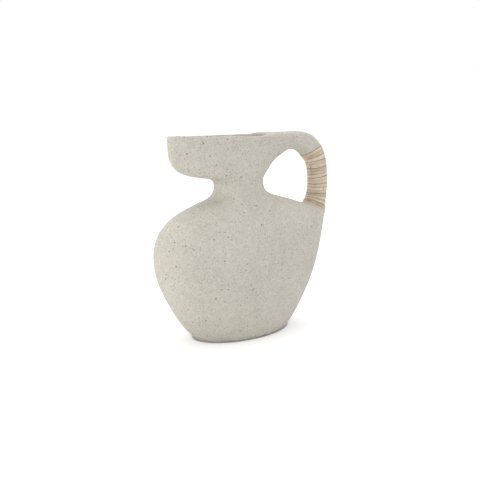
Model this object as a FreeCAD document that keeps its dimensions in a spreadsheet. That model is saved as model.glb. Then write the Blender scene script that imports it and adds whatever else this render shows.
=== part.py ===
import FreeCAD, Part
import math
import os

# Spouted stoneware jug with an integral side handle, its limb bound with cane.
# Millimetres. +Z is up, the origin is the middle of the foot on the table, the beak
# points along -X, the handle along +X, and the XZ plane is the plane of symmetry.

os.makedirs("parts", exist_ok=True)
doc = FreeCAD.newDocument("SpoutedJug")

# Driving dimensions
sizes = {
    "foot_length": 145.0,
    "foot_depth": 82.0,
    "foot_rounding": 1.0,
    "belly_height": 122.0,
    "belly_length": 259.0,
    "belly_depth": 132.0,
    "neck_rise": 84.0,
    "neck_length": 70.0,
    "neck_depth": 61.0,
    "neck_set_back": 3.8,
    "mouth_rise": 71.0,
    "rim_fall": 3.0,
    "beak_reach": 109.0,
    "mouth_back": 44.0,
    "mouth_depth": 54.0,
    "lip_rounding": 2.0,
    "wall": 6.0,
    "floor_thick": 8.0,
    "crown_rise": 0.5,
    "handle_thick": 24.5,
    "handle_width": 29.0,
    "limb_overhang": 2.5,
    "limb_drop": 74.5,
    "limb_radius": 110.0,
    "bend_radius": 44.5,
    "cane_wire": 2.2,
    "cane_clearance": 0.5,
    "cane_gap": 1.8,
    "binding_drop": 34.0,
    "overrun": 4.0,
}
sheet = doc.addObject("Spreadsheet::Sheet", "sizes")
for row, (alias, value) in enumerate(sizes.items(), start=1):
    sheet.set(f"A{row}", alias)
    sheet.set(f"B{row}", str(value))
    sheet.setAlias(f"B{row}", alias)
doc.recompute()


def size(alias):
    return float(sheet.get(alias))


def between(start, end, share):
    return start + (end - start) * share


def point(x, z, y=0.0):
    return FreeCAD.Vector(x, y, z)


# Points on one oval section, enough for a smooth closed curve
SECTION_POINTS = 16

# Each oval section stands on two points of the middle plane, near and far, and is
# half_depth wide at its middle. A positive egg share makes it fuller towards far.


def oval(name, near, far, half_depth, egg_share=0.0):
    centre = (near + far) / 2
    reach = (far - near) / 2
    across = FreeCAD.Vector(0, half_depth, 0)
    points = []
    for step in range(SECTION_POINTS):
        turn = 2 * math.pi * step / SECTION_POINTS
        side = math.sin(turn) * (1 + egg_share * math.cos(turn))
        points.append(centre + reach * math.cos(turn) + across * side)
    curve = Part.BSplineCurve()
    curve.interpolate(Points=points, PeriodicFlag=True)
    section = doc.addObject("Part::Feature", name)
    section.Shape = Part.Wire([curve.toShape()])
    return section


def loft(name, sections):
    made = doc.addObject("Part::Loft", name)
    made.Sections = sections
    made.Solid = True
    made.Ruled = False
    doc.recompute()
    return made


def cut(name, base, tool):
    made = doc.addObject("Part::Cut", name)
    made.Base = base
    made.Tool = tool
    doc.recompute()
    return made


def rounded(name, base, edge_numbers, radius):
    made = doc.addObject("Part::Fillet", name)
    made.Base = base
    made.Edges = [(number, radius, radius) for number in edge_numbers]
    doc.recompute()
    return made


# A form is a list of stations: near point, far point, half depth, egg share. The few
# rows chosen by hand are joined by smooth curves, which carry evenly spaced sections.


def spacing(before, after):
    return ((after[0] - before[0]).Length + (after[1] - before[1]).Length) / 2


def smooth_stations(rows, count):
    marks = [0.0]
    for before, after in zip(rows, rows[1:]):
        marks.append(marks[-1] + spacing(before, after))
    slopes = []
    for at in range(len(rows)):
        low = max(at - 1, 0)
        high = min(at + 1, len(rows) - 1)
        slopes.append([(b - a) * (1 / (marks[high] - marks[low])) for a, b in zip(rows[low], rows[high])])
    stations = []
    for step in range(count):
        mark = marks[-1] * step / (count - 1)
        at = max(number for number in range(len(rows) - 1) if marks[number] <= mark)
        span = marks[at + 1] - marks[at]
        share = (mark - marks[at]) / span
        start_weight = (1 + 2 * share) * (1 - share) ** 2
        end_weight = share * share * (3 - 2 * share)
        start_slope = share * (1 - share) ** 2 * span
        end_slope = share * share * (share - 1) * span
        station = []
        for column in range(len(rows[0])):
            value = rows[at][column] * start_weight + rows[at + 1][column] * end_weight
            value += slopes[at][column] * start_slope + slopes[at + 1][column] * end_slope
            station.append(value)
        stations.append(station)
    return stations


# Profile of the vessel. Rows of the lower part, foot to belly: height, then how far
# the beak side, the handle side and the depth have gone from the foot to the belly.
lower_shares = [
    (0.00, 0.000, 0.000, 0.00),
    (0.13, 0.265, 0.230, 0.27),
    (0.28, 0.478, 0.425, 0.50),
    (0.51, 0.743, 0.673, 0.77),
    (0.75, 0.940, 0.870, 0.94),
    (1.00, 1.000, 1.000, 1.00),
]
# Rows of the shoulder, belly to neck: the same four. A share under nothing swells
# past the belly, where the body runs out to carry the handle.
shoulder_shares = [
    (0.286, 0.060, -0.056, 0.13),
    (0.430, 0.150, -0.086, 0.25),
    (0.510, 0.225, -0.056, 0.34),
    (0.570, 0.310, 0.065, 0.43),
    (0.640, 0.435, 0.280, 0.54),
    (0.730, 0.655, 0.520, 0.68),
    (0.800, 0.850, 0.725, 0.79),
    (0.857, 0.945, 0.870, 0.87),
    (0.930, 0.990, 0.975, 0.94),
    (1.000, 1.000, 1.000, 1.00),
]
# Rows of the mouth, neck to rim: reach and height on the beak side, reach and height
# on the handle side, depth, and the egg share of the section.
mouth_shares = [
    (0.006, 0.070, -0.08, 0.088, 0.10, 0.00),
    (0.050, 0.140, -0.08, 0.160, 0.15, 0.05),
    (0.160, 0.185, 0.00, 0.235, 0.20, 0.08),
    (0.360, 0.215, 0.08, 0.320, 0.30, 0.12),
    (0.590, 0.260, 0.23, 0.430, 0.40, 0.16),
    (0.787, 0.340, 0.42, 0.540, 0.60, 0.20),
    (0.910, 0.458, 0.62, 0.650, 0.75, 0.24),
    (0.975, 0.620, 0.78, 0.770, 0.90, 0.27),
    (0.995, 0.800, 0.90, 0.885, 0.95, 0.29),
    (1.000, 1.000, 1.00, 1.000, 1.00, 0.30),
]
# How many evenly spaced sections carry each form
VESSEL_COUNT = 44
HOLLOW_COUNT = 40

foot_half = size("foot_length") / 2
belly_half = size("belly_length") / 2
neck_near = -size("neck_length") / 2 - size("neck_set_back")
neck_far = size("neck_length") / 2 - size("neck_set_back")
neck_height = size("belly_height") + size("neck_rise")
rim_height = neck_height + size("mouth_rise")
rim_far_height = rim_height - size("rim_fall")

vessel_rows = []
for up, near_out, far_out, depth_out in lower_shares:
    height = size("belly_height") * up
    near = point(-between(foot_half, belly_half, near_out), height)
    far = point(between(foot_half, belly_half, far_out), height)
    depth = between(size("foot_depth"), size("belly_depth"), depth_out)
    vessel_rows.append((near, far, depth / 2, 0.0))
for up, near_in, far_in, depth_in in shoulder_shares:
    height = between(size("belly_height"), neck_height, up)
    near = point(between(-belly_half, neck_near, near_in), height)
    far = point(between(belly_half, neck_far, far_in), height)
    depth = between(size("belly_depth"), size("neck_depth"), depth_in)
    vessel_rows.append((near, far, depth / 2, 0.0))
for near_out, near_up, far_out, far_up, depth_in, egg_share in mouth_shares:
    near_x = between(neck_near, -size("beak_reach"), near_out)
    near_z = between(neck_height, rim_height, near_up)
    far_x = between(neck_far, size("mouth_back"), far_out)
    far_z = between(neck_height, rim_far_height, far_up)
    depth = between(size("neck_depth"), size("mouth_depth"), depth_in)
    vessel_rows.append((point(near_x, near_z), point(far_x, far_z), depth / 2, egg_share))

vessel_stations = smooth_stations(vessel_rows, VESSEL_COUNT)
outer_loft = loft("outer_form", [oval(f"outer_section_{at}", *s) for at, s in enumerate(vessel_stations)])


# The hollow follows the outside one wall further in, square to each profile line.


def run_at(column, at):
    before = vessel_stations[max(at - 1, 0)][column]
    after = vessel_stations[min(at + 1, VESSEL_COUNT - 1)][column]
    return (after - before).normalize()


def depth_lean(at):
    before = vessel_stations[max(at - 1, 0)]
    after = vessel_stations[min(at + 1, VESSEL_COUNT - 1)]
    rise = (after[0] + after[1] - before[0] - before[1]).z / 2
    return (after[2] - before[2]) / rise


inner_rows = []
for at, (near, far, half_depth, egg_share) in enumerate(vessel_stations):
    near_run = run_at(0, at)
    far_run = run_at(1, at)
    near_in = near + point(near_run.z, -near_run.x) * size("wall")
    far_in = far + point(-far_run.z, far_run.x) * size("wall")
    depth_in = half_depth - size("wall") * math.hypot(1, depth_lean(at))
    inner_rows.append((near_in, far_in, depth_in, egg_share))
step_up = spacing(vessel_stations[-2], vessel_stations[-1])
inner_rows.append((near_in + near_run * step_up, far_in + far_run * step_up, depth_in, egg_share))
inner_stations = smooth_stations(inner_rows, HOLLOW_COUNT)
inner_loft = loft("inner_form", [oval(f"inner_section_{at}", *s) for at, s in enumerate(inner_stations)])

floor_block = doc.addObject("Part::Box", "floor_block")
floor_block.setExpression("Length", "sizes.belly_length")
floor_block.setExpression("Width", "sizes.belly_depth")
floor_block.setExpression("Height", "sizes.floor_thick + sizes.overrun")
floor_block.setExpression("Placement.Base.x", "-sizes.belly_length / 2")
floor_block.setExpression("Placement.Base.y", "-sizes.belly_depth / 2")
floor_block.setExpression("Placement.Base.z", "-sizes.overrun")
hollow = cut("hollow", inner_loft, floor_block)


def edges_within(shape, lowest, highest):
    found = []
    for number, edge in enumerate(shape.Edges, start=1):
        box = edge.BoundBox
        if box.ZMin > lowest and box.ZMax < highest:
            found.append(number)
    return found


slack = size("lip_rounding") / 2
foot_edges = edges_within(outer_loft.Shape, -slack, slack)
foot_rounded = rounded("foot_rounded", outer_loft, foot_edges, size("foot_rounding"))
rim_edges = edges_within(foot_rounded.Shape, rim_far_height - slack, rim_height + slack)
outside = rounded("outside", foot_rounded, rim_edges, size("lip_rounding"))
open_vessel = cut("open_vessel", outside, hollow)
inner_rim_edges = []
for number in edges_within(open_vessel.Shape, rim_far_height - slack, rim_height + slack):
    edge_box = open_vessel.Shape.Edges[number - 1].BoundBox
    if edge_box.XMax < size("mouth_back") - size("wall") / 2 and edge_box.YLength > size("wall"):
        inner_rim_edges.append(number)
jug_body = rounded("jug_body", open_vessel, inner_rim_edges, size("lip_rounding"))

# Handle. Its centreline climbs the limb on a wide arc, turns on the tighter bend arc
# and runs level under the crown to the mouth. It overhangs the belly a little, and
# its limb is steepest one limb drop under the crown.
crown_height = rim_height + size("crown_rise")
level_height = crown_height - size("handle_thick") / 2
limb_reach = belly_half + size("limb_overhang")
limb_height = crown_height - size("limb_drop")
limb_centre = point(limb_reach - size("limb_radius"), limb_height)
radius_change = size("limb_radius") - size("bend_radius")
bend_start = math.asin((level_height - size("bend_radius") - limb_height) / radius_change)
bend_centre = limb_centre + point(math.cos(bend_start), math.sin(bend_start)) * radius_change


def spoke(angle):
    return point(math.cos(angle), math.sin(angle))


def arc_frame(angle):
    """Centre and radius of the arc that carries the centreline at this angle."""
    if angle < bend_start:
        return limb_centre, size("limb_radius")
    return bend_centre, size("bend_radius")


# Rows along both arcs, foot to crown: angle in degrees, then thickness and width as
# shares of the handle's own.
limb_shares = [
    (-34.0, 1.20, 1.20),
    (-27.0, 1.55, 1.22),
    (-21.0, 1.45, 1.12),
    (-15.0, 1.15, 1.04),
    (-8.0, 1.00, 1.00),
    (0.0, 1.00, 1.00),
    (9.0, 1.00, 1.00),
    (20.0, 1.06, 1.03),
    (33.0, 1.20, 1.10),
    (47.0, 1.30, 1.14),
    (62.0, 1.20, 1.10),
    (76.0, 1.06, 1.03),
    (90.0, 1.00, 1.00),
]
# Rows of the root, crown to mouth. Underside, then top: way from the bend to the
# mouth's back, and drop from the crown to the neck. Last, how far the half width
# has gone from the handle's to the mouth's.
root_shares = [
    (0.26, 0.345, 0.22, 0.000, 0.02),
    (0.48, 0.410, 0.46, 0.003, 0.08),
    (0.76, 0.505, 0.77, 0.014, 0.20),
    (1.02, 0.620, 1.02, 0.052, 0.36),
    (1.20, 0.760, 1.26, 0.095, 0.52),
    (1.38, 0.900, 1.50, 0.150, 0.68),
]
HANDLE_COUNT = 28

handle_rows = []
for degrees, thick_share, width_share in limb_shares:
    angle = math.radians(degrees)
    centre, radius = arc_frame(angle)
    half_thick = size("handle_thick") * thick_share / 2
    near = centre + spoke(angle) * (radius - half_thick)
    far = centre + spoke(angle) * (radius + half_thick)
    handle_rows.append((near, far, size("handle_width") * width_share / 2, 0.0))
drop = crown_height - neck_height
for under_way, under_drop, top_way, top_drop, width_in in root_shares:
    near_x = between(bend_centre.x, size("mouth_back"), under_way)
    near_z = crown_height - drop * under_drop
    far_x = between(bend_centre.x, size("mouth_back"), top_way)
    far_z = crown_height - drop * top_drop
    width = between(size("handle_width"), size("mouth_depth"), width_in)
    handle_rows.append((point(near_x, near_z), point(far_x, far_z), width / 2, 0.0))
handle_stations = smooth_stations(handle_rows, HANDLE_COUNT)
handle_form = loft("handle_form", [oval(f"handle_section_{at}", *s) for at, s in enumerate(handle_stations)])

# The root meets the mouth's flank at a low angle, so it is cut exactly, with no fuzz.
handle = doc.addObject("Part::Feature", "handle")
handle.Shape = handle_form.Shape.cut(outside.Shape)
handle.Placement = FreeCAD.Placement()


# Cane. Each strand is one unbroken round wire that climbs the limb in turns. Places
# along the handle are travel up its inner side, counted from the start of the bend.
inner_limb = size("limb_radius") - size("handle_thick") / 2
inner_bend = size("bend_radius") - size("handle_thick") / 2


def travel_at(angle):
    if angle < bend_start:
        return (angle - bend_start) * inner_limb
    return (angle - bend_start) * inner_bend


def angle_at(travel):
    if travel < 0:
        return bend_start + travel / inner_limb
    return bend_start + travel / inner_bend


def station_angle(station):
    middle = (station[0] + station[1]) / 2
    from_limb = middle - limb_centre
    angle = math.atan2(from_limb.z, from_limb.x)
    if angle < bend_start:
        return angle
    from_bend = middle - bend_centre
    return math.atan2(from_bend.z, from_bend.x)


def handle_halves(angle):
    """Half thickness and half width of the handle at an angle, between its sections."""
    low = handle_stations[0]
    for high in handle_stations[1:]:
        if angle <= station_angle(high):
            break
        low = high
    share = (angle - station_angle(low)) / (station_angle(high) - station_angle(low))
    half_thick = between((low[1] - low[0]).Length, (high[1] - high[0]).Length, share) / 2
    return half_thick, between(low[2], high[2], share)


# A turn slants when its outer side lies further up or down the handle than its inner.


def strand_point(turns, strand):
    share = turns / strand["turns"]
    turn = 2 * math.pi * turns + START_TURN
    slant = between(strand["low_slant_share"], strand["high_slant_share"], share) * size("handle_thick")
    angle = angle_at(between(strand["low"], strand["high"], share) + slant * math.cos(turn))
    centre, radius = arc_frame(angle)
    half_thick, half_width = handle_halves(angle)
    stand_off = size("cane_clearance") + size("cane_wire") / 2
    place = centre + spoke(angle) * (radius + (half_thick + stand_off) * math.cos(turn))
    place.y = (half_width + stand_off) * math.sin(turn)
    return place


def way_at(turns, strand):
    after = strand_point(turns + NUDGE_TURNS, strand)
    return (after - strand_point(turns - NUDGE_TURNS, strand)).normalize()


def arc_between(start, corner, end):
    """Arc from start to end, tangent to both lines through the corner."""
    middle = (start + end) / 2
    half_chord = (end - start).Length / 2
    sagitta_way = corner - middle
    half_turn = math.atan2(sagitta_way.Length, half_chord)
    sagitta = half_chord * math.tan(half_turn / 2)
    top = middle + sagitta_way.normalize() * sagitta
    return Part.Arc(start, top, end).toShape()


def biarc(start, start_way, end, end_way):
    gap = end - start
    ways = start_way + end_way
    twice = 2 * (1 - start_way.dot(end_way))
    reach = (math.sqrt(gap.dot(ways) ** 2 + twice * gap.dot(gap)) - gap.dot(ways)) / twice
    first_corner = start + start_way * reach
    second_corner = end - end_way * reach
    joint = (first_corner + second_corner) / 2
    return [arc_between(start, first_corner, joint), arc_between(joint, second_corner, end)]


# Each strand starts and ends at the back, a quarter of a turn from the outer side.
START_TURN = math.pi / 2
QUARTERS = 4
NUDGE_TURNS = 1e-4


def wind(name, strand):
    marks = [step / QUARTERS for step in range(int(strand["turns"] * QUARTERS) + 1)]
    places = [strand_point(mark, strand) for mark in marks]
    ways = [way_at(mark, strand) for mark in marks]
    tail = size("cane_wire")
    start = places[0] - ways[0] * tail
    end = places[-1] + ways[-1] * tail
    edges = [Part.LineSegment(start, places[0]).toShape()]
    for at in range(len(places) - 1):
        edges += biarc(places[at], ways[at], places[at + 1], ways[at + 1])
    edges.append(Part.LineSegment(places[-1], end).toShape())
    path = Part.Wire(edges)
    ring = Part.Wire([Part.Circle(start, ways[0], size("cane_wire") / 2).toShape()])
    strand_object = doc.addObject("Part::Feature", name)
    strand_object.Shape = path.makePipeShell([ring], True, False)
    strand_object.Placement = FreeCAD.Placement()
    print(name, "least gap to itself", round(least_gap(strand), 2))
    return strand_object


def least_gap(strand):
    """Distance between points half a turn or more apart, less the wire."""
    per_turn = 48
    count = int(strand["turns"] * per_turn) + 1
    places = [strand_point(step / per_turn, strand) for step in range(count)]
    least = strand["turns"] * size("handle_thick")
    for first in range(count):
        for second in range(first + per_turn // 2, min(first + 2 * per_turn, count)):
            least = min(least, (places[second] - places[first]).Length)
    return least - size("cane_wire")


# The binding starts one binding drop under the limb's steepest place and ends at this
# angle of the bend.
HIGH_ANGLE = math.radians(46.0)
FOOT_TURNS = 2
HEAD_TURNS = 2

pitch = size("cane_wire") + size("cane_gap")
foot_low = travel_at(-math.asin(size("binding_drop") / size("limb_radius")))
foot_high = foot_low + pitch * FOOT_TURNS
head_high = travel_at(HIGH_ANGLE)
head_low = head_high - pitch * HEAD_TURNS
winding_low = foot_high + pitch
winding_high = head_low - pitch
winding_turns = int((winding_high - winding_low) / pitch)

# Slants are shares of the handle's thickness.
foot_tie = {
    "low": foot_low,
    "high": foot_high,
    "turns": FOOT_TURNS,
    "low_slant_share": -0.10,
    "high_slant_share": -0.06,
}
winding = {
    "low": winding_low,
    "high": winding_high,
    "turns": winding_turns,
    "low_slant_share": -0.03,
    "high_slant_share": -0.12,
}
head_tie = {
    "low": head_low,
    "high": head_high,
    "turns": HEAD_TURNS,
    "low_slant_share": -0.16,
    "high_slant_share": -0.20,
}
print("winding turns", winding_turns)
cane_foot_tie = wind("cane_foot_tie", foot_tie)
cane_winding = wind("cane_winding", winding)
cane_head_tie = wind("cane_head_tie", head_tie)

doc.recompute()
nodes = [jug_body, handle, cane_foot_tie, cane_winding, cane_head_tie]
for made in doc.Objects:
    if "Invalid" in made.State or "Error" in made.State:
        raise RuntimeError(f"{made.Name} did not build: {made.State}")
for node in nodes:
    node.Label = node.Name
    if node.Shape.isNull() or not node.Shape.isValid() or len(node.Shape.Solids) != 1:
        raise RuntimeError(f"{node.Name} isn't one valid solid")
    node.Shape.exportStep(f"parts/{node.Label}.step")
    print(node.Label, round(node.Shape.Volume), node.Shape.BoundBox)
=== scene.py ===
import math

import bpy
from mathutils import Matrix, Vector


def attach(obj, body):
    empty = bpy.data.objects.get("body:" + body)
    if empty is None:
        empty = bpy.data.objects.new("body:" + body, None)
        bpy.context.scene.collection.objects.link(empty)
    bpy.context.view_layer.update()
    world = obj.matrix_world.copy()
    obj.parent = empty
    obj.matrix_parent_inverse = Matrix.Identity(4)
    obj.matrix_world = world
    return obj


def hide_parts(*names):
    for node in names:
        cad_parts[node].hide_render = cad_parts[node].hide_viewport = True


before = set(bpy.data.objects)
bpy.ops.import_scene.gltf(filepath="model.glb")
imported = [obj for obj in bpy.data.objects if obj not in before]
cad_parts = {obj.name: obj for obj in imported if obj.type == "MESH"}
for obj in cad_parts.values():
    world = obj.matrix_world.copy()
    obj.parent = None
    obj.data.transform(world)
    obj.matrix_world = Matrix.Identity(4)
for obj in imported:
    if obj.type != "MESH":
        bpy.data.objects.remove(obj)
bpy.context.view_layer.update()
print("frame loaded")

# A beaked stoneware jug with a cane-bound handle. Metres, +Z up, the beak along -X.

vessel = {
    "footHalf": 0.0725, "footDepth": 0.082, "footSkirt": 0.008,
    "bellyHeight": 0.122, "bellyHalf": 0.1300, "bellyDepth": 0.132,
    "neckHeight": 0.206, "neckHalf": 0.035, "neckDepth": 0.061, "neckSetBack": 0.0038,
    "rimHeight": 0.277, "rimFall": 0.003, "beakReach": 0.1097,
    "mouthBack": 0.044, "mouthDepth": 0.054,
    "wall": 0.006, "floor": 0.008,
    "sections": 60, "around": 128, "voxel": 0.0021,
    # how far beak side, handle side and depth have gone, foot to belly
    "lowerShares": [
        (0.00, 0.000, 0.000, 0.00), (0.13, 0.265, 0.230, 0.27), (0.28, 0.478, 0.425, 0.50),
        (0.51, 0.743, 0.673, 0.77), (0.75, 0.940, 0.870, 0.94), (1.00, 1.000, 1.000, 1.00),
    ],
    # the same, belly to neck
    "shoulderShares": [
        (0.286, 0.060, -0.056, 0.13), (0.430, 0.150, -0.086, 0.25), (0.510, 0.225, -0.056, 0.34),
        (0.570, 0.310, 0.065, 0.43), (0.640, 0.435, 0.280, 0.54), (0.730, 0.655, 0.520, 0.68),
        (0.800, 0.850, 0.725, 0.79), (0.857, 0.945, 0.870, 0.87), (0.930, 0.990, 0.975, 0.94),
        (1.000, 1.000, 1.000, 1.00),
    ],
    # neck to rim: beak reach and height, handle side reach and height, depth, egg share
    "mouthShares": [
        (0.006, 0.070, -0.08, 0.088, 0.10, 0.00), (0.050, 0.140, -0.08, 0.160, 0.15, 0.05),
        (0.160, 0.185, 0.00, 0.235, 0.20, 0.08), (0.360, 0.215, 0.08, 0.320, 0.30, 0.12),
        (0.590, 0.260, 0.23, 0.430, 0.40, 0.16), (0.787, 0.340, 0.42, 0.540, 0.60, 0.20),
        (0.910, 0.458, 0.62, 0.650, 0.75, 0.24), (0.975, 0.620, 0.78, 0.770, 0.90, 0.27),
        (0.995, 0.800, 0.90, 0.885, 0.95, 0.29), (1.000, 1.000, 1.00, 1.000, 1.00, 0.30),
    ],
}
handle = {
    "crown": 0.2775, "thick": 0.0245, "width": 0.029,
    "limbReach": 0.132, "limbHeight": 0.203, "limbRadius": 0.110, "bendRadius": 0.0445,
    "sections": 56, "around": 48,
    # angle in degrees, thickness and width as shares of the handle's own, squareness of
    # the outer side
    "limbShares": [
        (-34.0, 1.20, 1.20, 2.0), (-27.0, 1.55, 1.22, 2.0), (-21.0, 1.45, 1.12, 2.0),
        (-15.0, 1.15, 1.04, 2.0), (-8.0, 1.00, 1.00, 2.0), (0.0, 1.00, 1.00, 2.0),
        (9.0, 1.00, 1.00, 2.0), (20.0, 1.06, 1.03, 2.0), (33.0, 1.20, 1.10, 2.0),
        (47.0, 1.32, 1.14, 2.0), (62.0, 1.27, 1.10, 2.2), (76.0, 1.13, 1.04, 2.6),
        (90.0, 1.04, 1.02, 3.2),
    ],
    # underside, then top: way to the mouth's back and drop to the neck; width, squareness
    "rootShares": [
        (0.26, 0.345, 0.22, 0.000, 0.09, 3.8), (0.48, 0.410, 0.46, 0.000, 0.20, 4.4),
        (0.76, 0.505, 0.77, 0.002, 0.33, 5.0), (1.02, 0.620, 1.02, 0.006, 0.45, 5.0),
        (1.20, 0.760, 1.26, 0.012, 0.56, 5.0), (1.38, 0.900, 1.50, 0.020, 0.66, 5.0),
    ],
}
# points closer than this are one point, and this power makes a true oval
sheetPoint = 1e-6
roundPower = 2.0


def mix(start, end, share):
    return start + (end - start) * share


def shareBetween(rows, value):
    for low, high in zip(rows, rows[1:]):
        if value <= high[0]:
            break
    return mix(low[1], high[1], (value - low[0]) / (high[0] - low[0]))


def planePoint(x, z):
    return Vector((x, 0, z))


def spacing(before, after):
    return ((after[0] - before[0]).length + (after[1] - before[1]).length) / 2


def evenStations(rows, count):
    # a smooth curve through the rows, read at evenly spaced places
    marks = [0.0]
    for before, after in zip(rows, rows[1:]):
        marks.append(marks[-1] + spacing(before, after))
    slopes = []
    for at in range(len(rows)):
        low, high = max(at - 1, 0), min(at + 1, len(rows) - 1)
        run = marks[high] - marks[low]
        slopes.append([(b - a) / run for a, b in zip(rows[low], rows[high])])
    stations = []
    for step in range(count):
        mark = marks[-1] * step / (count - 1)
        at = max(number for number in range(len(rows) - 1) if marks[number] <= mark)
        span = marks[at + 1] - marks[at]
        t = (mark - marks[at]) / span
        station = []
        for column in range(len(rows[0])):
            value = rows[at][column] * ((1 + 2 * t) * (1 - t) ** 2)
            value += rows[at + 1][column] * (t * t * (3 - 2 * t))
            value += slopes[at][column] * (t * (1 - t) ** 2 * span)
            value += slopes[at + 1][column] * (t * t * (t - 1) * span)
            station.append(value)
        stations.append(station)
    return stations


def vesselRows():
    v = vessel
    neckNear, neckFar = -v["neckHalf"] - v["neckSetBack"], v["neckHalf"] - v["neckSetBack"]
    backHeight = v["rimHeight"] - v["rimFall"]
    rows = []
    for up, near, far, depth in v["lowerShares"]:
        z = v["bellyHeight"] * up
        rows.append((planePoint(-mix(v["footHalf"], v["bellyHalf"], near), z),
                     planePoint(mix(v["footHalf"], v["bellyHalf"], far), z),
                     mix(v["footDepth"], v["bellyDepth"], depth) / 2, 0.0, roundPower))
    for up, near, far, depth in v["shoulderShares"]:
        z = mix(v["bellyHeight"], v["neckHeight"], up)
        rows.append((planePoint(mix(-v["bellyHalf"], neckNear, near), z),
                     planePoint(mix(v["bellyHalf"], neckFar, far), z),
                     mix(v["bellyDepth"], v["neckDepth"], depth) / 2, 0.0, roundPower))
    for nearOut, nearUp, farOut, farUp, depth, egg in v["mouthShares"]:
        rows.append((planePoint(mix(neckNear, -v["beakReach"], nearOut),
                                mix(v["neckHeight"], v["rimHeight"], nearUp)),
                     planePoint(mix(neckFar, v["mouthBack"], farOut),
                                mix(v["neckHeight"], backHeight, farUp)),
                     mix(v["neckDepth"], v["mouthDepth"], depth) / 2, egg, roundPower))
    return rows


def innerRows(stations):
    # one wall further in, square to each profile line, and on past the rim
    rows = []
    last = len(stations) - 1
    for at, (near, far, half, egg, power) in enumerate(stations):
        before, after = stations[max(at - 1, 0)], stations[min(at + 1, last)]
        nearRun = (after[0] - before[0]).normalized()
        farRun = (after[1] - before[1]).normalized()
        rise = (after[0] + after[1] - before[0] - before[1]).z / 2
        lean = math.hypot(1, (after[2] - before[2]) / rise)
        nearIn = near + Vector((nearRun.z, 0, -nearRun.x)) * vessel["wall"]
        farIn = far + Vector((-farRun.z, 0, farRun.x)) * vessel["wall"]
        rows.append((nearIn, farIn, half - vessel["wall"] * lean, egg, power))
    step = spacing(stations[-2], stations[-1])
    rows.append((nearIn + nearRun * step, farIn + farRun * step, rows[-1][2], egg, power))
    return rows


def squared(value, power):
    return math.copysign(abs(value) ** (roundPower / power), value)


def ovalPlace(station, turn):
    near, far, half, egg, power = station
    centre, reach = (near + far) / 2, (far - near) / 2
    power = power if math.cos(turn) > 0 else roundPower
    along, side = squared(math.cos(turn), power), squared(math.sin(turn), power)
    return centre + reach * along + Vector((0, half * side * (1 + egg * along), 0))


def only(piece):
    bpy.ops.object.select_all(action="DESELECT")
    piece.select_set(True)
    bpy.context.view_layer.objects.active = piece


def wrapGrid(name, along, around, place):
    # a flat grid rolled into a tube: its seam is merged and both ends are filled
    bpy.ops.object.select_all(action="DESELECT")
    bpy.ops.mesh.primitive_grid_add(x_subdivisions=along, y_subdivisions=around, size=2, calc_uvs=True)
    piece = bpy.context.active_object
    piece.name = piece.data.name = name
    for vertex in piece.data.vertices:
        share = (vertex.co.x + 1) / 2
        turn = (vertex.co.y + 1) * math.pi
        vertex.co = place(share, turn)
    bpy.ops.object.mode_set(mode="EDIT")
    bpy.ops.mesh.select_all(action="SELECT")
    bpy.ops.mesh.remove_doubles(threshold=sheetPoint)
    bpy.ops.mesh.fill_holes(sides=0)
    bpy.ops.mesh.select_all(action="SELECT")
    bpy.ops.mesh.normals_make_consistent(inside=False)
    bpy.ops.object.mode_set(mode="OBJECT")
    return piece


def finishModifier(piece, kind, **settings):
    only(piece)
    modifier = piece.modifiers.new(kind.lower(), kind)
    for name, value in settings.items():
        setattr(modifier, name, value)
    bpy.ops.object.modifier_apply(modifier=modifier.name)


def wrapStations(name, stations, around):
    last = len(stations) - 1
    return wrapGrid(name, last, around, lambda share, turn: ovalPlace(stations[round(share * last)], turn))


# Handle: the limb on a wide arc, then the bend, then the root in the mouth's back
levelHeight = handle["crown"] - handle["thick"] / 2
limbCentre = planePoint(handle["limbReach"] - handle["limbRadius"], handle["limbHeight"])
radiusChange = handle["limbRadius"] - handle["bendRadius"]
bendStart = math.asin((levelHeight - handle["bendRadius"] - handle["limbHeight"]) / radiusChange)


def spoke(angle):
    return planePoint(math.cos(angle), math.sin(angle))


bendCentre = limbCentre + spoke(bendStart) * radiusChange


def arcFrame(angle):
    if angle < bendStart:
        return limbCentre, handle["limbRadius"]
    return bendCentre, handle["bendRadius"]


def handleRows():
    rows = []
    for degrees, thickShare, widthShare, power in handle["limbShares"]:
        angle = math.radians(degrees)
        centre, radius = arcFrame(angle)
        half = handle["thick"] * thickShare / 2
        rows.append((centre + spoke(angle) * (radius - half), centre + spoke(angle) * (radius + half),
                     handle["width"] * widthShare / 2, 0.0, power))
    drop = handle["crown"] - vessel["neckHeight"]
    for underWay, underDrop, topWay, topDrop, width, power in handle["rootShares"]:
        underX = mix(bendCentre.x, vessel["mouthBack"], underWay)
        topX = mix(bendCentre.x, vessel["mouthBack"], topWay)
        rows.append((planePoint(underX, handle["crown"] - drop * underDrop),
                     planePoint(topX, handle["crown"] - drop * topDrop),
                     mix(handle["width"], vessel["mouthDepth"], width) / 2, 0.0, power))
    return rows


outerStations = evenStations(vesselRows(), vessel["sections"])
hollowStations = evenStations(innerRows(outerStations), vessel["sections"])
handleStations = evenStations(handleRows(), handle["sections"])

# the foot runs on below the table until the last cut, which leaves a crisp edge
footRun = outerStations[1][0] - outerStations[0][0]
skirtShare = vessel["footSkirt"] / footRun.z
skirt = [a - (b - a) * skirtShare for a, b in zip(outerStations[0], outerStations[1])]
jug = wrapStations("jug_clay", [skirt] + outerStations, vessel["around"])
hollow = wrapStations("hollow", hollowStations, vessel["around"])
grip = wrapStations("grip", handleStations, handle["around"])
print("forms wrapped")

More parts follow.
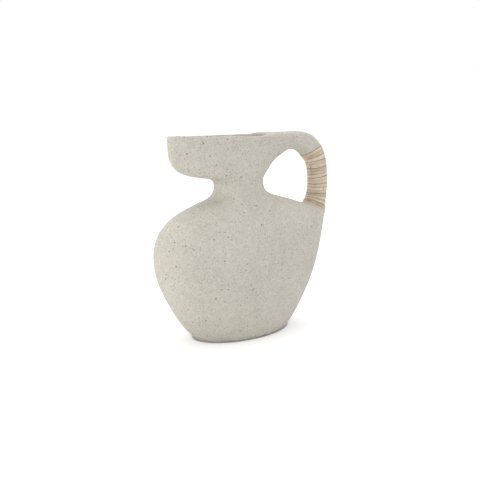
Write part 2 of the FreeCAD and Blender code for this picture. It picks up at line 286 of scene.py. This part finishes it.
# the hollow starts at the floor
keepAbove = {"plane_no": (0, 0, 1), "use_fill": True, "clear_inner": True}
only(hollow)
bpy.ops.object.mode_set(mode="EDIT")
bpy.ops.mesh.select_all(action="SELECT")
bpy.ops.mesh.bisect(plane_co=(0, 0, vessel["floor"]), **keepAbove)
bpy.ops.object.mode_set(mode="OBJECT")
finishModifier(jug, "BOOLEAN", object=grip, operation="UNION", solver="EXACT")
finishModifier(jug, "BOOLEAN", object=hollow, operation="DIFFERENCE", solver="EXACT")
for helper in (hollow, grip):
    bpy.data.objects.remove(helper)
finishModifier(jug, "REMESH", mode="VOXEL", voxel_size=vessel["voxel"], use_smooth_shade=True)
print("clay joined:", len(jug.data.polygons), "faces")

# worn soft all over, and more where the handle was luted on
softening = {
    "factor": 0.5, "rounds": 5, "jointRounds": 24,
    "mouthJoint": (0.046, 0.0, 0.243), "mouthReach": 0.034,
    "shoulderJoint": (0.118, 0.0, 0.166), "shoulderReach": 0.026,
    "lipKept": 0.262, "lipFade": 0.008,
}
finishModifier(jug, "SMOOTH", factor=softening["factor"], iterations=softening["rounds"])
joints = jug.vertex_groups.new(name="joints")
for vertex in jug.data.vertices:
    weight = 0.0
    for spot in ("mouth", "shoulder"):
        away = (vertex.co - Vector(softening[spot + "Joint"])).length / softening[spot + "Reach"]
        # full over the inner half of the reach
        weight = max(weight, min(1.0, 2 * (1 - away)))
    weight = min(weight, (softening["lipKept"] - vertex.co.z) / softening["lipFade"])
    if weight > 0:
        joints.add([vertex.index], weight, "REPLACE")
finishModifier(jug, "SMOOTH", factor=softening["factor"], iterations=softening["jointRounds"],
               vertex_group="joints")

# the back of the rim runs level and on into the handle's flat top, the front falls a little
rim = {
    # place along the jug, and how far the back edge is lifted there
    "lifts": [
        (-0.20, 0.0), (-0.10, 0.0), (-0.07, -0.0012), (-0.035, -0.0012), (-0.010, -0.0004),
        (0.010, 0.0006), (0.028, 0.0012), (0.042, 0.0008), (0.060, 0.0), (0.20, 0.0),
    ],
    # the lift grows over these heights, and from front to back over these places
    "heights": (0.235, 0.274), "sides": (-0.004, 0.014),
}


def eased(value, low, high):
    share = min(max((value - low) / (high - low), 0.0), 1.0)
    return share * share * (3 - 2 * share)


for vertex in jug.data.vertices:
    lift = shareBetween(rim["lifts"], vertex.co.x) * eased(vertex.co.z, *rim["heights"])
    vertex.co.z += lift * eased(vertex.co.y, *rim["sides"])

# the foot is cut flat on the table and its edge worn
footEdge = {"offset": 0.0022, "segments": 4, "profile": 0.5}
only(jug)
bpy.ops.object.mode_set(mode="EDIT")
bpy.ops.mesh.select_all(action="SELECT")
bpy.ops.mesh.bisect(plane_co=(0, 0, 0), threshold=sheetPoint, **keepAbove)
bpy.ops.mesh.region_to_loop()
bpy.ops.mesh.bevel(**footEdge)
bpy.ops.object.mode_set(mode="OBJECT")

# the handle becomes a piece of its own between its two roots
handleCuts = {
    # each plane cuts only the faces within its own stretch of x and z
    "head": {
        "point": planePoint(0.056, 0.25), "way": planePoint(1, 0),
        "x": (0.04, 0.075), "z": (0.215, 1.0),
    },
    "foot": {
        "point": planePoint(0.1085, 0.1765), "way": planePoint(0.457, 0.889),
        "x": (0.095, 1.0), "z": (0.14, 0.2),
    },
}


def selectFaces(piece, wanted):
    bpy.ops.mesh.select_all(action="DESELECT")
    bpy.ops.object.mode_set(mode="OBJECT")
    for face in piece.data.polygons:
        face.select = wanted(face)
    bpy.ops.object.mode_set(mode="EDIT")


def nearCut(point, cut):
    return cut["x"][0] < point.x < cut["x"][1] and cut["z"][0] < point.z < cut["z"][1]


def inHandle(face):
    return all((face.center - cut["point"]).dot(cut["way"]) > 0 for cut in handleCuts.values())


bpy.ops.object.mode_set(mode="EDIT")
bpy.ops.mesh.select_mode(type="FACE")
for cut in handleCuts.values():
    selectFaces(jug, lambda face: nearCut(face.center, cut))
    bpy.ops.mesh.bisect(plane_co=cut["point"], plane_no=cut["way"])
selectFaces(jug, inHandle)
bpy.ops.mesh.separate(type="SELECTED")
bpy.ops.object.mode_set(mode="OBJECT")
grip = [piece for piece in bpy.context.selected_objects if piece is not jug][0]
grip.name = grip.data.name = "handle_clay"
# the caps and the foot's underside have more sides than this, and get a sharp edge
capSides = 30
for piece in (jug, grip):
    only(piece)
    bpy.ops.object.mode_set(mode="EDIT")
    bpy.ops.mesh.select_mode(type="EDGE")
    bpy.ops.mesh.select_all(action="DESELECT")
    bpy.ops.mesh.select_non_manifold()
    bpy.ops.mesh.fill_holes(sides=0)
    bpy.ops.mesh.select_mode(type="FACE")
    selectFaces(piece, lambda face: len(face.vertices) > capSides)
    bpy.ops.mesh.region_to_loop()
    bpy.ops.mesh.mark_sharp()
    bpy.ops.object.mode_set(mode="OBJECT")
    print(piece.name, len(piece.data.polygons), "faces")

# Cane: flat strips laid turn on turn up the limb, wider where the turns spread
cane = {
    "low": -21.0, "high": 46.0, "turns": 18,
    "crown": 0.0014, "cover": 1.16, "standOff": 0.0002, "shingle": 0.0002,
    "flatness": 0.45, "bed": 0.0004, "headSink": 0.0010, "headSinkTurns": (14.5, 17.8),
    "steps": 44, "around": 12, "endTurns": 0.12, "endShare": 0.35, "startTurn": 0.25,
    "wobbles": [(0.00030, 2.4, 0.6), (0.00022, 5.3, 2.1), (0.00016, 11.7, 4.0)],
    # turn number, and how much higher the outer side lies, as a share of the thickness
    "slantShares": [
        (0, -0.21), (1, -0.18), (2, -0.12), (3.2, -0.05), (5, 0.04), (9, 0.05), (13, -0.02),
        (16, -0.11), (17, -0.17), (18, -0.23),
    ],
    # first turn, last turn and the CAD node that the strip stands for
    "strips": {
        "cane_foot_strip": (0, 3, "cane_foot_tie"), "cane_strip": (3, 16, "cane_winding"),
        "cane_head_strip": (16, 18, "cane_head_tie"),
    },
}
innerLimb = handle["limbRadius"] - handle["thick"] / 2
innerBend = handle["bendRadius"] - handle["thick"] / 2


def travelAt(angle):
    return (angle - bendStart) * (innerLimb if angle < bendStart else innerBend)


def angleAt(travel):
    return bendStart + travel / (innerLimb if travel < 0 else innerBend)


def stationAngle(station):
    middle = (station[0] + station[1]) / 2
    out = middle - limbCentre
    angle = math.atan2(out.z, out.x)
    if angle < bendStart:
        return angle
    out = middle - bendCentre
    return math.atan2(out.z, out.x)


# the handle's last stations belong to its root in the mouth, where no cane lies
rootStations = 12
limbStations = handleStations[:-rootStations]
thickRows = [(stationAngle(station), (station[1] - station[0]).length / 2) for station in limbStations]
widthRows = [(stationAngle(station), station[2]) for station in limbStations]
caneLow, caneHigh = travelAt(math.radians(cane["low"])), travelAt(math.radians(cane["high"]))


def strandPlace(turns):
    phase = (turns + cane["startTurn"]) * 2 * math.pi
    slant = shareBetween(cane["slantShares"], min(max(turns, 0), cane["turns"])) * handle["thick"]
    wobble = sum(size * math.sin(rate * turns + start) for size, rate, start in cane["wobbles"])
    travel = mix(caneLow, caneHigh, turns / cane["turns"]) + slant * math.cos(phase) + wobble
    angle = angleAt(travel)
    centre, radius = arcFrame(angle)
    standOff = cane["standOff"] - cane["headSink"] * eased(turns, *cane["headSinkTurns"])
    halfThick = shareBetween(thickRows, angle) + standOff
    halfWidth = shareBetween(widthRows, angle) + standOff
    middle = centre + spoke(angle) * radius
    offset = spoke(angle) * halfThick * math.cos(phase) + Vector((0, halfWidth * math.sin(phase), 0))
    return middle + offset, offset


def stripMaker(first, last):
    nudge = 0.01

    def place(share, turn):
        turns = mix(first, last, share)
        spot, offset = strandPlace(turns)
        run = (strandPlace(turns + nudge)[0] - strandPlace(turns - nudge)[0]).normalized()
        out = (offset - run * offset.dot(run)).normalized()
        across = run.cross(out)
        if across.dot(strandPlace(turns + 1)[0] - spot) < 0:
            across = -across
        pitch = (strandPlace(turns + 1)[0] - strandPlace(turns - 1)[0]).length / 2
        fade = min(1.0, (turns - first) / cane["endTurns"], (last - turns) / cane["endTurns"])
        fade = mix(cane["endShare"], 1.0, max(fade, 0.0))
        halfWide = pitch * cane["cover"] / 2 * fade
        height = max(math.sin(turn), 0) ** cane["flatness"] * cane["crown"] * fade
        height += cane["shingle"] * math.cos(turn) - cane["bed"] * max(-math.sin(turn), 0)
        return spot + across * halfWide * math.cos(turn) + out * height
    return place


caneStrips = []
for name, (first, last, node) in cane["strips"].items():
    strip = wrapGrid(name, (last - first) * cane["steps"], cane["around"], stripMaker(first, last))
    for face in strip.data.polygons:
        face.use_smooth = True
    caneStrips.append((strip, node))
    print(name, len(strip.data.polygons), "faces")


# Materials. A Socket is one output of a node tree, with the sums and textures that start from it
class Socket:
    def __init__(self, tree, link=None):
        self.tree, self.link = tree, link

    def node(self, kind, settings, values, output=0):
        made = self.tree.nodes.new(kind)
        for name, value in settings.items():
            setattr(made, name, value)
        for name, value in values.items():
            if isinstance(value, Socket):
                self.tree.links.new(value.link, made.inputs[name])
            else:
                made.inputs[name].default_value = value
        return Socket(self.tree, made.outputs[output])

    def math(self, operation, *values):
        return self.node("ShaderNodeMath", {"operation": operation}, dict(enumerate(values)))

    def __add__(self, other):
        return self.math("ADD", self, other)

    def __sub__(self, other):
        return self.math("SUBTRACT", self, other)

    def __rsub__(self, other):
        return self.math("SUBTRACT", other, self)

    def __mul__(self, other):
        return self.math("MULTIPLY", self, other)

    def __abs__(self):
        return self.math("ABSOLUTE", self)

    __radd__ = __add__

    def rise(self, low, high):
        # 0 at low, 1 at high, smooth between
        return self.node("ShaderNodeMapRange", {"interpolation_type": "SMOOTHSTEP"},
                         {"Value": self, "From Min": low, "From Max": high})

    def tint(self, start, end):
        # start where this is 0, end where it is 1
        return self.node("ShaderNodeMix", {"data_type": "RGBA"}, {0: self, 6: start, 7: end}, 2)

    def stretched(self, scale):
        return self.node("ShaderNodeVectorMath", {"operation": "MULTIPLY"}, {0: self, 1: scale})

    def noise(self, scale, detail=2.0, roughness=0.5):
        return self.node("ShaderNodeTexNoise", {},
                         {"Vector": self, "Scale": scale, "Detail": detail, "Roughness": roughness})

    def cells(self, scale, output):
        return self.node("ShaderNodeTexVoronoi", {}, {"Vector": self, "Scale": scale}, output)

    def part(self, axis):
        return self.node("ShaderNodeSeparateXYZ", {}, {0: self}, axis)

    def specks(self, scale, share, size, edge):
        # a share of the cells holds one round speck each, of a size given in metres
        fade = 0.02
        distance = self.cells(scale, "Distance") * (1 / scale)
        chosen = self.cells(scale, "Color").part(0).rise(1 - share, 1 + fade - share)
        return (1 - distance.rise(size - edge, size + edge)) * chosen


def linear(red, green, blue):
    # a colour as seen, 0 to 255, in the render's own linear scale
    channels = [value / 255 for value in (red, green, blue)]
    return [((value + 0.055) / 1.055) ** 2.4 for value in channels] + [1.0]


def newMaterial(name):
    made = bpy.data.materials.new(name)
    made.use_nodes = True
    tree = made.node_tree
    return made, Socket(tree), tree.nodes["Principled BSDF"]


def feed(tree, shader, inputs):
    for name, value in inputs.items():
        tree.tree.links.new(value.link, shader.inputs[name])


def makeClay():
    look = {
        "pale": linear(212, 208, 197), "deep": linear(183, 179, 167),
        "fine": linear(132, 121, 104), "iron": linear(80, 64, 50), "chalk": linear(228, 225, 217),
        # noises: scale in waves per metre, detail, roughness
        "broad": (14.0, 3.0), "middle": (95.0, 3.0), "grain": (430.0, 2.0, 0.7), "swell": (36.0, 2.0),
        "patches": (60.0,), "patchRange": (0.25, 0.55), "toneRange": (0.40, 1.00),
        # specks: cells per metre, share of cells that hold one, radius and soft edge in metres
        "fineSpecks": (330.0, 0.55, 0.00062, 0.00022), "fineStrength": 0.85,
        "chalkSpecks": (300.0, 0.35, 0.00055, 0.00022), "chalkStrength": 0.50,
        "ironSpecks": (125.0, 0.50, 0.00088, 0.00028), "ironStrength": 0.85,
        # stretched apart, so that the kinds of specks don't share their places
        "chalkStretch": (1.0, 1.13, 0.94), "ironStretch": (0.93, 1.0, 1.1),
        "roughness": 0.66, "specular": 0.35, "bumpStrength": 0.55, "bumpDepth": 0.0006,
    }
    material, start, shader = newMaterial("speckled_stoneware")
    place = start.node("ShaderNodeTexCoord", {}, {}, "Object")
    broad = place.noise(*look["broad"])
    middle = place.noise(*look["middle"])
    grain = place.noise(*look["grain"])
    tone = broad * 0.30 + middle * 0.30 + grain * 0.80
    colour = tone.rise(*look["toneRange"]).tint(look["deep"], look["pale"])
    fine = place.specks(*look["fineSpecks"]) * place.noise(*look["patches"]).rise(*look["patchRange"])
    colour = (fine * look["fineStrength"]).tint(colour, look["fine"])
    chalk = place.stretched(look["chalkStretch"]).specks(*look["chalkSpecks"])
    colour = (chalk * look["chalkStrength"]).tint(colour, look["chalk"])
    iron = place.stretched(look["ironStretch"]).specks(*look["ironSpecks"])
    colour = (iron * look["ironStrength"]).tint(colour, look["iron"])
    rough = look["roughness"] + grain * 0.12 - iron * 0.15
    height = place.noise(*look["swell"]) * 1.1 + middle * 0.22 + grain * 0.10 + iron * 0.10
    bump = start.node("ShaderNodeBump", {},
                      {"Height": height, "Strength": look["bumpStrength"], "Distance": look["bumpDepth"]})
    feed(start, shader, {"Base Color": colour, "Roughness": rough, "Normal": bump})
    shader.inputs["Specular IOR Level"].default_value = look["specular"]
    return material


def makeCane(name, light, dark, gapShadeAndJoint, evenGapShade):
    look = {
        # fibres and streaks run along the strip: stretch along and across, then the noise
        "fibreStretch": (2.2, 34.0, 1.0), "fibres": (1.0, 4.0, 0.6),
        "streakStretch": (0.9, 9.0, 1.0), "streaks": (1.0, 2.0),
        "blotches": (150.0, 2.0), "toneRange": (0.52, 0.98),
        # painted shade in the gaps between strips: the colour darkens towards the strip's edges over this
        # part of its half width
        "gapShadeRange": (0.62, 0.98),
        # the cane's own joints: shift, half the turns from one to the next, half width, strength
        "jointShift": 0.31, "jointHalfWay": 1.7, "jointWidth": 0.02, "jointStrength": 0.5,
        "roughness": 0.40, "specular": 0.4, "bumpStrength": 0.5, "bumpDepth": 0.00025,
    }
    material, start, shader = newMaterial(name)
    lay = start.node("ShaderNodeUVMap", {"uv_map": "lay"}, {})
    place = start.node("ShaderNodeTexCoord", {}, {}, "Object")
    across, turns = lay.part(1), lay.part(0)
    fibres = lay.stretched(look["fibreStretch"]).noise(*look["fibres"])
    streaks = lay.stretched(look["streakStretch"]).noise(*look["streaks"])
    blotches = place.noise(*look["blotches"])
    toJoint = turns.math("PINGPONG", turns + look["jointShift"], look["jointHalfWay"])
    joint = toJoint.rise(look["jointWidth"], 0.0)
    turn = turns.math("FLOOR", turns)
    byTurn = turn.node("ShaderNodeTexWhiteNoise", {"noise_dimensions": "1D"}, {"W": turn})
    tone = fibres * 0.50 + streaks * 0.35 + blotches * 0.40 + byTurn * 0.25
    colour = tone.rise(*look["toneRange"]).tint(linear(*dark), linear(*light))
    # painted shade: towards each strip's edges, where the gaps between turns lie in shadow, the colour
    # darkens, more on some turns than others; the cane's own joints take the same dark colour
    paintedGapShade = abs(across).rise(*look["gapShadeRange"])
    colour = (paintedGapShade * (evenGapShade + byTurn * (1 - evenGapShade))).tint(colour, linear(*gapShadeAndJoint))
    colour = (joint * look["jointStrength"]).tint(colour, linear(*gapShadeAndJoint))
    rough = look["roughness"] + fibres * 0.25 + paintedGapShade * 0.2
    height = fibres * 0.8 + streaks * 0.4
    bump = start.node("ShaderNodeBump", {},
                      {"Height": height, "Strength": look["bumpStrength"], "Distance": look["bumpDepth"]})
    feed(start, shader, {"Base Color": colour, "Roughness": rough, "Normal": bump})
    shader.inputs["Specular IOR Level"].default_value = look["specular"]
    return material


white = (1.0, 1.0, 1.0, 1.0)


def makeFloor():
    # white to the camera but for the object's own shadow, with painted shade in its colour that is darkest
    # in the crack under the foot
    look = {
        "crackShade": (0.16, 0.16, 0.17, 1.0), "bare": (0.98, 0.98, 0.98, 1.0),
        "reach": 0.0045, "samples": 12, "openRange": (0.34, 0.80), "glow": 0.23,
    }
    material, start, shader = newMaterial("white_table")
    openness = start.node("ShaderNodeAmbientOcclusion", {"samples": look["samples"]},
                          {"Distance": look["reach"]}, "AO")
    # painted shadow: the table's colour darkens where ambient occlusion finds the foot close
    feed(start, shader, {"Base Color": openness.rise(*look["openRange"]).tint(look["crackShade"], look["bare"])})
    shader.inputs["Roughness"].default_value = 1.0
    shader.inputs["Specular IOR Level"].default_value = 0.0
    seen = start.node("ShaderNodeLightPath", {}, {}, "Is Camera Ray")
    glow = start.node("ShaderNodeEmission", {}, {"Color": white, "Strength": look["glow"]})
    lit = Socket(start.tree, shader.outputs[0])
    both = start.node("ShaderNodeAddShader", {}, {0: lit, 1: glow})
    mixed = start.node("ShaderNodeMixShader", {}, {0: seen, 1: lit, 2: both})
    output = start.tree.nodes["Material Output"]
    start.tree.links.new(mixed.link, output.inputs["Surface"])
    return material


# each strip's UV map holds turns along it and, across it, -1 to 1 from edge to edge
for strip, _ in caneStrips:
    first, last = cane["strips"][strip.name][:2]
    lay = strip.data.uv_layers.active
    lay.name = "lay"
    for corner in lay.data:
        along, around = corner.uv
        corner.uv = (mix(first, last, along), math.cos(2 * math.pi * around))

clay = makeClay()
for piece in (jug, grip):
    piece.data.materials.clear()
    piece.data.materials.append(clay)
# material name, light and dark colours as seen, the colour of the painted shade in the gaps and of the
# cane's own joints, and how even the painted gap shade is from turn to turn
caneLooks = {
    "cane_foot_strip": ("cane_low", (226, 211, 189), (180, 160, 134), (112, 91, 70), 0.85),
    "cane_strip": ("cane_wound", (226, 213, 193), (184, 166, 142), (128, 108, 86), 0.35),
    "cane_head_strip": ("cane_brown", (220, 204, 180), (170, 150, 125), (116, 96, 75), 0.70),
}
for strip, _ in caneStrips:
    strip.data.materials.append(makeCane(*caneLooks[strip.name]))
print("materials made")

# Table, light and camera
tableSize = 12.0
bpy.ops.mesh.primitive_plane_add(size=tableSize, location=(0, 0, 0))
table = bpy.context.active_object
table.name = "table"
table.data.materials.append(makeFloor())

lamps = {
    "ambient": 0.86,
    "key": {"energy": 3.1, "size": 0.8, "place": (-1.14, 0.14, 0.26), "aim": (0, 0, 0.16)},
    "overhead": {"energy": 7.8, "size": 1.4, "place": (0.05, 0.25, 1.6), "aim": (0, 0, 0.10)},
}
world = bpy.data.worlds.new("studio")
world.use_nodes = True
bpy.context.scene.world = world
sky = Socket(world.node_tree)
ambient = world.node_tree.nodes["Background"]
ambient.inputs["Color"].default_value = white
ambient.inputs["Strength"].default_value = lamps["ambient"]
backdrop = sky.node("ShaderNodeBackground", {}, {"Color": white, "Strength": 1.0})
cameraRay = sky.node("ShaderNodeLightPath", {}, {}, "Is Camera Ray")
lighting = Socket(sky.tree, ambient.outputs[0])
shown = sky.node("ShaderNodeMixShader", {}, {0: cameraRay, 1: lighting, 2: backdrop})
sky.tree.links.new(shown.link, world.node_tree.nodes["World Output"].inputs["Surface"])


def aimed(thing, place, target):
    thing.location = place
    thing.rotation_euler = (Vector(target) - Vector(place)).to_track_quat("-Z", "Y").to_euler()


for lampName in ("key", "overhead"):
    settings = lamps[lampName]
    bpy.ops.object.light_add(type="AREA")
    lamp = bpy.context.active_object
    lamp.name = lampName
    lamp.data.energy = settings["energy"]
    lamp.data.size = settings["size"]
    aimed(lamp, settings["place"], settings["aim"])

view = {"place": (-0.4524, -0.7208, 0.322), "tilt": 77.34, "turn": -32.0, "lens": 47.1, "sensor": 36.0}
lean, heading = math.radians(view["tilt"]), math.radians(view["turn"])
bpy.ops.object.camera_add(location=view["place"], rotation=(lean, 0, heading))
camera = bpy.context.active_object
camera.data.lens = view["lens"]
camera.data.sensor_width = view["sensor"]
camera.data.dof.use_dof = False
scene = bpy.context.scene
scene.camera = camera
scene.view_settings.view_transform = "Standard"
print("stage set")

pieces = [(jug, "jug_body", "body_clay"), (grip, "handle", "handle_clay")]
pieces += [(strip, node, "cane") for strip, node in caneStrips]
for piece, node, slotName in pieces:
    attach(piece, "root")
    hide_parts(node)
